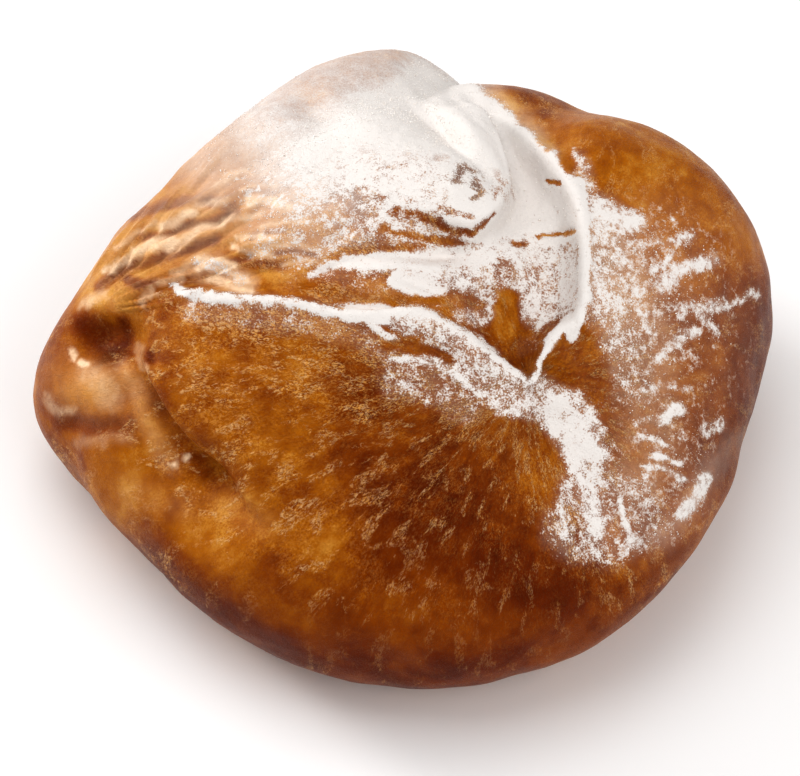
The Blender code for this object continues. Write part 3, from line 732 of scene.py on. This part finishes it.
def sugar_grains(bed):
    """Single grains of sugar, lying mostly where the coat thins out."""
    chance = np.random.default_rng(SEED)
    on_skin, way_out = scattered(chance, bed, GRAINS)
    size = np.clip(chance.lognormal(math.log(GRAIN_SIZE), GRAIN_SPREAD, GRAINS), GRAIN_LEAST, GRAIN_MOST)
    middle = on_skin + way_out * size[:, None] * 0.5
    crystal = CRYSTAL * chance.uniform(*GRAIN_STRETCH, (GRAINS, 1, 3)) * size[:, None, None]
    turned = np.einsum("gij,gcj->gci", turned_at_random(chance, GRAINS), crystal)
    corners = keep_in_box((middle[:, None] + turned).reshape(-1, 3))
    faces = (CRYSTAL_FACES + len(CRYSTAL) * np.arange(GRAINS)[:, None, None]).reshape(-1, 3)
    grains = bpy.data.meshes.new("sugar_grains")
    grains.from_pydata(corners * MM, [], faces)
    grains.materials.append(grain_material())
    thing = new_object("sugar_grains", grains)
    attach(thing, "root")


class Graph:
    """A material's nodes. Each call adds one and returns its output. Inputs are given by name or
    number, as numbers or as other nodes' outputs."""

    def __init__(self, name):
        self.material = bpy.data.materials.new(name)
        self.material.use_nodes = True
        self.tree = self.material.node_tree
        self.shader = self.tree.nodes["Principled BSDF"]

    def set(self, node, inputs):
        for key, value in inputs.items():
            if isinstance(value, bpy.types.NodeSocket):
                self.tree.links.new(value, node.inputs[key])
            else:
                node.inputs[key].default_value = value

    def node(self, kind, inputs, output=0, **settings):
        node = self.tree.nodes.new("ShaderNode" + kind)
        for key, value in settings.items():
            setattr(node, key, value)
        self.set(node, inputs)
        return node.outputs[output]

    def value(self, name):
        """A value that the mesh keeps."""
        return self.node("Attribute", {}, output="Fac", attribute_name=name)

    def place(self):
        """The point on the bun, in millimetres."""
        point = self.node("TexCoord", {}, output="Object")
        return self.node("VectorMath", {0: point, "Scale": 1 / MM}, operation="SCALE")

    def noise(self, place, apart, detail=2.0, roughness=0.5, distortion=0.0):
        inputs = {"Vector": place, "Scale": 1 / apart, "Detail": detail, "Roughness": roughness}
        return self.node("TexNoise", {**inputs, "Distortion": distortion})

    def math(self, operation, a, b=0.0, c=0.0):
        return self.node("Math", {0: a, 1: b, 2: c}, operation=operation)

    def total(self, base, *parts):
        """The base plus each part's value times its amount."""
        for value, amount in parts:
            base = self.math("MULTIPLY_ADD", value, amount, base)
        return base

    def step(self, value, low, high):
        """0 below low and 1 above high, easing between them."""
        inputs = {"Value": value, "From Min": low, "From Max": high}
        return self.node("MapRange", inputs, interpolation_type="SMOOTHSTEP")

    def mix(self, share, a, b):
        inputs = {0: share, 6: a, 7: b}
        return self.node("Mix", inputs, output=2, data_type="RGBA")

    def ramp(self, share, stops):
        node = self.tree.nodes.new("ShaderNodeValToRGB")
        self.tree.links.new(share, node.inputs[0])
        elements = node.color_ramp.elements
        while len(elements) < len(stops):
            elements.new(1.0)
        for element, (position, colour) in zip(elements, stops):
            element.position = position
            element.color = (*colour, 1.0)
        return node.outputs[0]


# The crust's colours, from pale gold to its darkest brown.
BROWNS = (
    (0.00, (0.62, 0.30, 0.050)),
    (0.25, (0.43, 0.142, 0.005)),
    (0.50, (0.26, 0.058, 0.001)),
    (0.75, (0.15, 0.022, 0.0005)),
    (1.00, (0.08, 0.008, 0.0002)),
)
# Light tan, for the crust's flecks and for the painted highlight on the fine folds' tops.
TAN_AND_HIGHLIGHT = (0.74, 0.38, 0.10, 1.0)
WORN_SKIN = (0.84, 0.56, 0.30, 1.0)
# Pale skin, and the colour of the painted highlights and glints.
PALE_SKIN_AND_HIGHLIGHT = (0.88, 0.65, 0.44, 1.0)
THIN_SUGAR = (0.76, 0.58, 0.45, 1.0)
SUGAR_WHITE = (0.76, 0.72, 0.69, 1.0)
BUMP_HEIGHT = 0.22


def crust_skin(graph, place, strands, rugged):
    """The bare crust's colour with its painted shade and highlights, how coarse its grain is, and its
    relief.
    """
    blotches = graph.noise(place, 8.0, detail=3.0, distortion=0.4)
    streaks = graph.noise(strands, 2.0, detail=3.0, roughness=0.6)
    streaks = graph.math("MULTIPLY", graph.math("SUBTRACT", streaks, 0.5), rugged)
    worn = graph.step(graph.noise(place, 4.0, detail=3.0), 0.40, 0.64)
    grain = graph.noise(place, 0.36, detail=2.0, roughness=0.7)
    coarse = graph.math("MULTIPLY", graph.math("SUBTRACT", grain, 0.5), graph.total(0.25, (worn, 0.5)))
    coarse = graph.math("MULTIPLY", coarse, rugged)
    # Browning and painted shade from the strokes.
    painted_on = ((graph.value("bake_and_shade"), 1.0), (graph.value("sugar"), 0.2))
    grown = ((blotches, 0.75), (streaks, 0.6), (coarse, 1.0), (worn, -0.10))
    brown = graph.ramp(graph.total(-0.38, *painted_on, *grown), BROWNS)

    flecked = graph.value("flecked")
    torn = graph.noise(strands, 2.6, detail=4.0, roughness=0.65, distortion=0.5)
    torn = graph.step(graph.total(torn, (flecked, 0.08)), 0.53, 0.62)
    dashes = graph.noise(strands, 0.36, detail=2.0, roughness=0.6, distortion=1.2)
    ragged = graph.math("MULTIPLY", graph.step(dashes, 0.48, 0.62), torn)
    ragged = graph.math("MULTIPLY", ragged, rugged)
    flecks = graph.noise(strands, 0.27, detail=2.0, roughness=0.6, distortion=1.0)
    flecks = graph.step(flecks, 0.46, 0.62)
    fleck_share = graph.total(0.05, (worn, 0.16), (torn, 0.45), (flecked, 0.22))
    light = graph.math("MULTIPLY", flecks, graph.math("MULTIPLY", fleck_share, rugged))
    # A painted highlight on the fine folds' tops, over the light flecks.
    light = graph.math("MAXIMUM", light, graph.math("MULTIPLY", graph.value("tops_highlight"), 0.75))
    # Pale skin and painted highlights, broken into patches.
    patchy = graph.total(0.1, (graph.noise(place, 1.6, detail=3.0, roughness=0.6), 1.6))
    pale_and_highlight = graph.math("MINIMUM", graph.math("MULTIPLY", graph.value("pale_and_highlight"), patchy), 1.0)

    colour = graph.mix(light, brown, TAN_AND_HIGHLIGHT)
    colour = graph.mix(graph.math("MULTIPLY", ragged, 0.45), colour, WORN_SKIN)
    colour = graph.mix(pale_and_highlight, colour, PALE_SKIN_AND_HIGHLIGHT)
    relief = graph.math("MULTIPLY", graph.math("MULTIPLY", grain, 0.6), rugged)
    return colour, grain, graph.total(relief, (ragged, 0.3), (flecks, 0.2))


def sugar_coat(graph, place, strands, rugged):
    """How much of the crust the sugar and its painted sheen hide, and the sugar's relief."""
    sugar = graph.value("sugar")
    clumps = graph.noise(place, 2.6, detail=4.0, roughness=0.7)
    grains = graph.noise(place, 0.26, detail=1.0)
    grains = graph.math("MULTIPLY_ADD", graph.math("SUBTRACT", grains, 0.5), rugged, 0.5)
    pinches = graph.noise(place, 0.9, detail=2.0)
    trails = graph.noise(strands, 1.0, detail=2.0)
    sprinkle = graph.total(-1.55, (clumps, 1.6), (grains, 1.2), (pinches, 0.9), (trails, 0.4))
    cover = graph.step(graph.math("SUBTRACT", sugar, sprinkle), -0.36, 0.40)
    cover = graph.math("MULTIPLY", cover, graph.step(sugar, 0.0, 0.2))
    # Thin sugar and a painted sheen, from the veil strokes.
    veil_and_sheen = graph.total(0.3, (grains, 0.8), (clumps, 0.6))
    veil_and_sheen = graph.math("MULTIPLY", veil_and_sheen, graph.value("veil_and_sheen"))
    film = graph.math("MULTIPLY", sugar, graph.total(0.02, (clumps, 0.7)))
    cover = graph.math("MAXIMUM", cover, graph.math("ADD", film, veil_and_sheen))
    cover = graph.math("MINIMUM", cover, 1.0)
    return cover, graph.total(0.3, (clumps, 0.5), (grains, 0.35))


def crust_material():
    """Baked crust under icing sugar."""
    graph = Graph("crust_and_sugar")
    place = graph.place()
    strands = graph.node("Attribute", {}, output="Vector", attribute_name="strands")
    rugged = graph.math("MULTIPLY_ADD", graph.value("smooth"), -0.75, 1.0)
    skin_colour, grain, skin = crust_skin(graph, place, strands, rugged)
    cover, powder = sugar_coat(graph, place, strands, rugged)

    sugar_colour = graph.mix(graph.step(cover, 0.1, 0.9), THIN_SUGAR, SUGAR_WHITE)
    colour = graph.mix(cover, skin_colour, sugar_colour)
    roughness = graph.math("MAXIMUM", graph.total(0.16, (grain, 0.3)), graph.math("MULTIPLY", cover, 0.95))
    relief = graph.total(skin, (graph.math("SUBTRACT", powder, skin), cover))
    bump = graph.node("Bump", {"Height": relief, "Distance": BUMP_HEIGHT * MM, "Strength": 1.0})
    graph.set(graph.shader, {"Base Color": colour, "Roughness": roughness, "Normal": bump})
    # Little mirror shine, and a warm one, so that the white studio doesn't veil the browns.
    graph.set(graph.shader, {"Specular IOR Level": 0.05, "Specular Tint": (1.0, 0.66, 0.40, 1.0)})
    return graph.material


def grain_material():
    """Sugar crystals, each a little clearer or whiter than the next."""
    graph = Graph("sugar_grain")
    tone = graph.noise(graph.place(), 0.5, detail=1.0)
    colour = graph.ramp(tone, ((0.3, (0.80, 0.74, 0.68)), (0.7, (0.92, 0.90, 0.88))))
    graph.set(graph.shader, {"Base Color": colour, "Roughness": 0.5})
    return graph.material


def plain_material(name, colour, roughness):
    graph = Graph(name)
    tint = graph.noise(graph.place(), 40.0, detail=3.0)
    shade = graph.ramp(tint, ((0.0, tuple(c * 0.985 for c in colour)), (1.0, colour)))
    graph.set(graph.shader, {"Base Color": shade, "Roughness": roughness})
    return graph.material


FLOOR_HALF_SIZE = 1500.0
FLOOR_COLOUR = (0.9, 0.9, 0.9)


def floor():
    mesh = bpy.data.meshes.new("floor")
    half = FLOOR_HALF_SIZE * MM
    corners = [(-half, -half, 0), (half, -half, 0), (half, half, 0), (-half, half, 0)]
    mesh.from_pydata(corners, [], [(0, 1, 2, 3)])
    mesh.materials.append(plain_material("floor", FLOOR_COLOUR, 0.8))
    new_object("floor", mesh)


def looking(thing, at):
    """Turns a camera or light to look at a point, given in metres."""
    way = Vector(at) - thing.location
    thing.rotation_euler = way.to_track_quat("-Z", "Y").to_euler()


def camera():
    lens = bpy.data.cameras.new("camera")
    lens.lens, lens.sensor_width = LENS, SENSOR
    lens.clip_start = 0.01
    eye = new_object("camera", lens)
    eye.location = (VIEW_AIM - AWAY * VIEW_DISTANCE) * MM
    looking(eye, VIEW_AIM * MM)
    bpy.context.scene.camera = eye


# Each light: where it hangs, how wide it is, in millimetres, and its power in watts.
LIGHTS = {
    "sky": ((-120, 0, 640), 420, 1.65),
    "window": ((-560, 330, 210), 160, 2.5),
    "fill": ((420, -420, 480), 600, 2.5),
}
LIGHTS_AIM = (0, 0, 0.03)
WORLD_STRENGTH = 0.56
CONTRAST = 0.80  # below 1, as the photograph's deep browns and clear whites are


def lights():
    for name, (at, width, power) in LIGHTS.items():
        light = bpy.data.lights.new(name, "AREA")
        light.size, light.energy = width * MM, power
        lamp = new_object(name, light)
        lamp.location = Vector(at) * MM
        looking(lamp, LIGHTS_AIM)
    world = bpy.data.worlds.new("studio")
    world.use_nodes = True
    background = world.node_tree.nodes["Background"]
    background.inputs["Color"].default_value = (1, 1, 1, 1)
    background.inputs["Strength"].default_value = WORLD_STRENGTH
    bpy.context.scene.world = world
    bpy.context.scene.view_settings.view_transform = "Standard"
    bpy.context.scene.view_settings.gamma = CONTRAST


def main():
    noise.seed_set(SEED)
    sugar_grains(bun())
    floor()
    camera()
    lights()


main()
